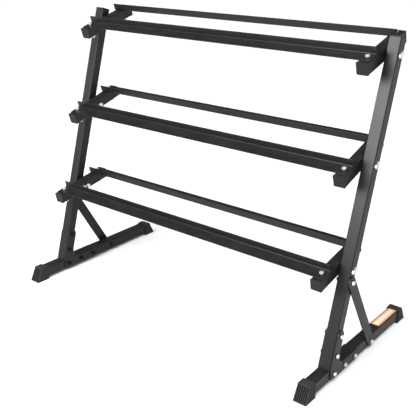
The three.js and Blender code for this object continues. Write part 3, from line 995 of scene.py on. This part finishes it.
    def shape(self, sizes, reach, black_nut):
        """One bolt with the top of its head at the origin and its thread towards -Z."""
        nut_bottom = -reach + (sizes.short_end if black_nut else sizes.thread_end)
        nut_top = nut_bottom + sizes.nut
        bright = [self.hexagon(sizes, "Head", -sizes.head, 0, (1,))]
        black = [
            self.washer(sizes, -sizes.head - sizes.washer_thickness),
            self.washer(sizes, nut_top),
        ]
        lower = black if black_nut else bright
        lower.append(self.hexagon(sizes, "Nut", nut_bottom, nut_top, (1, -1)))
        lower.append(self.threaded_shank(sizes, nut_bottom, -reach))
        # The washers, and the nuts of the plate bolts, are marked to be coloured near black.
        for part in black:
            mark_faces(part, "dark_fastener")
        bolt = join("Bolt", bright + black)
        smooth(bolt)
        return bolt

    def washer(self, sizes, bottom):
        ring = prism("Washer", sizes.washer / 2, bottom, bottom + sizes.washer_thickness, 28)
        round_edges(ring, 0.25 * MM, segments=2)
        return ring

    def threaded_shank(self, sizes, nut_bottom, end):
        """The shank, whose last crests of thread show below the nut."""
        shank = prism("Shank", sizes.thread / 2, nut_bottom, -sizes.head / 2, 16)
        crests = int((nut_bottom - end) / sizes.pitch)
        root = 1 - 1.2 * sizes.pitch / sizes.thread
        edit(shank)
        pick_faces(shank, lambda centre, normal: normal.z < -0.9)
        step = (nut_bottom - end) / (2 * crests)
        for _ in range(crests):
            for factor in (root, 1 / root):
                extrude_by((0, 0, -step))
                bpy.ops.transform.resize(value=(factor, factor, 1))
        bpy.ops.transform.resize(value=(root, root, 1))
        leave_edit()
        return shank


class RACK_OT_make_sticker(bpy.types.Operator):
    """Model the plain sticker on the right foot"""

    bl_idname = "rack.make_sticker"
    bl_label = "Make the sticker"

    def execute(self, context):
        sizes = context.scene.rack_sticker
        low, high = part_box("foot_label")
        sticker = box("foot_sticker", low, high)
        edit(sticker)
        pick_edges(sticker, lambda a, b: near(a.x, b.x) and near(a.y, b.y))
        bpy.ops.mesh.bevel(offset=sizes.corner, segments=5, affect="EDGES")
        leave_edit()
        round_edges(sticker, 0.1 * MM, segments=2, angle=60)
        smooth(sticker)
        give(sticker, make_sticker_vinyl(
            context.scene.rack_finishes, sizes, (low + high) / 2, (high.y - low.y) / 2))
        belongs(sticker, "label", "foot_label")
        return {"FINISHED"}


class RACK_OT_make_studio(bpy.types.Operator):
    """Make the floor, the soft lights and the camera"""

    bl_idname = "rack.make_studio"
    bl_label = "Make the studio"

    def execute(self, context):
        studio = context.scene.rack_studio
        self.floor(studio)
        self.surround(context.scene, studio)
        self.softbox("Front softbox", studio.front_light, **FRONT_SOFTBOX)
        self.softbox("Left softbox", studio.left_light, **LEFT_SOFTBOX)
        self.softbox("Side softbox", studio.side_light, **SIDE_SOFTBOX)
        self.overhead(studio)
        self.camera(context.scene, studio)
        context.scene.view_settings.view_transform = "Standard"
        return {"FINISHED"}

    def floor(self, studio):
        deselect_all()
        bpy.ops.mesh.primitive_plane_add(size=FLOOR_SIZE, location=(0, 0, -FLOOR_DROP))
        ground = bpy.context.object
        ground.name = "studio_floor"
        give(ground, make_floor_paint(studio))

    def surround(self, scene, studio):
        """Walls that are bright at eye level and dimmer overhead, and white to the camera."""
        world = bpy.data.worlds.new("Studio surround")
        world.use_nodes = True
        scene.world = world
        tree = world.node_tree
        tree.nodes.clear()
        direction = add(tree, "ShaderNodeTexCoord").outputs["Generated"]
        parts = add(tree, "ShaderNodeSeparateXYZ", {"Vector": direction})
        level = between(tree, parts.outputs["Z"], 0.0, WALL_TOP, HORIZON_LEVEL, WALL_TOP_LEVEL)
        seen = add(tree, "ShaderNodeLightPath").outputs["Is Camera Ray"]
        brightness = sums(tree, "MULTIPLY", level, studio.sky)
        white = (1.0, 1.0, 1.0)
        walls = add(tree, "ShaderNodeBackground", {"Color": white, "Strength": brightness})
        backdrop = add(tree, "ShaderNodeBackground", {"Color": white, "Strength": 1.0})
        mix = add(tree, "ShaderNodeMixShader", {"Fac": seen})
        tree.links.new(walls.outputs[0], mix.inputs[1])
        tree.links.new(backdrop.outputs[0], mix.inputs[2])
        end = add(tree, "ShaderNodeOutputWorld")
        tree.links.new(mix.outputs[0], end.inputs["Surface"])

    def softbox(self, name, power, size, place, target):
        deselect_all()
        bpy.ops.object.light_add(type="AREA", location=place)
        lamp = bpy.context.object
        lamp.name = name
        lamp.data.energy = power
        lamp.data.shape = "SQUARE"
        lamp.data.size = size
        aim = Vector(target) - Vector(place)
        lamp.rotation_euler = aim.to_track_quat("-Z", "Y").to_euler()

    def overhead(self, studio):
        """A very wide light, so that its shadows are soft."""
        deselect_all()
        bpy.ops.object.light_add(type="SUN", location=OVERHEAD_PLACE)
        lamp = bpy.context.object
        lamp.name = "Overhead light"
        lamp.data.energy = studio.sun
        lamp.data.angle = OVERHEAD_ANGLE
        aim = Vector(OVERHEAD_DIRECTION)
        lamp.rotation_euler = aim.to_track_quat("-Z", "Y").to_euler()

    def camera(self, scene, studio):
        deselect_all()
        bpy.ops.object.camera_add(location=CAMERA_PLACE, rotation=CAMERA_TURN)
        eye = bpy.context.object
        eye.name = "Studio camera"
        eye.data.sensor_width = SENSOR_WIDTH
        eye.data.lens = studio.focal_length * 1000
        scene.camera = eye


OPERATORS = (
    RACK_OT_coat_steel,
    RACK_OT_make_foot_caps,
    RACK_OT_make_tube_plugs,
    RACK_OT_make_bolts,
    RACK_OT_make_sticker,
    RACK_OT_make_studio,
)


class RACK_PT_sidebar(bpy.types.Panel):
    """The rack's settings and steps in the sidebar"""

    bl_idname = "RACK_PT_sidebar"
    bl_label = "Dumbbell Rack"
    bl_space_type = "VIEW_3D"
    bl_region_type = "UI"
    bl_category = "Rack"

    def draw(self, context):
        for name, group in SETTINGS.items():
            settings = getattr(context.scene, name)
            column = self.layout.column(align=True)
            column.label(text=group.__doc__)
            for label in group.__annotations__:
                column.prop(settings, label)
        steps = self.layout.column(align=True)
        for operator in OPERATORS:
            steps.operator(operator.bl_idname)


SETTINGS = {
    "rack_finishes": RackFinishes,
    "rack_fasteners": RackFasteners,
    "rack_caps": RackCaps,
    "rack_sticker": RackSticker,
    "rack_studio": RackStudio,
}


def register():
    for item in (*SETTINGS.values(), *OPERATORS, RACK_PT_sidebar):
        bpy.utils.register_class(item)
    for name, group in SETTINGS.items():
        setattr(bpy.types.Scene, name, bpy.props.PointerProperty(type=group))


def unregister():
    for name in SETTINGS:
        delattr(bpy.types.Scene, name)
    for item in (RACK_PT_sidebar, *OPERATORS, *SETTINGS.values()):
        bpy.utils.unregister_class(item)


def main():
    register()
    for operator in OPERATORS:
        group, name = operator.bl_idname.split(".")
        getattr(getattr(bpy.ops, group), name)()


if __name__ == "__main__":
    main()
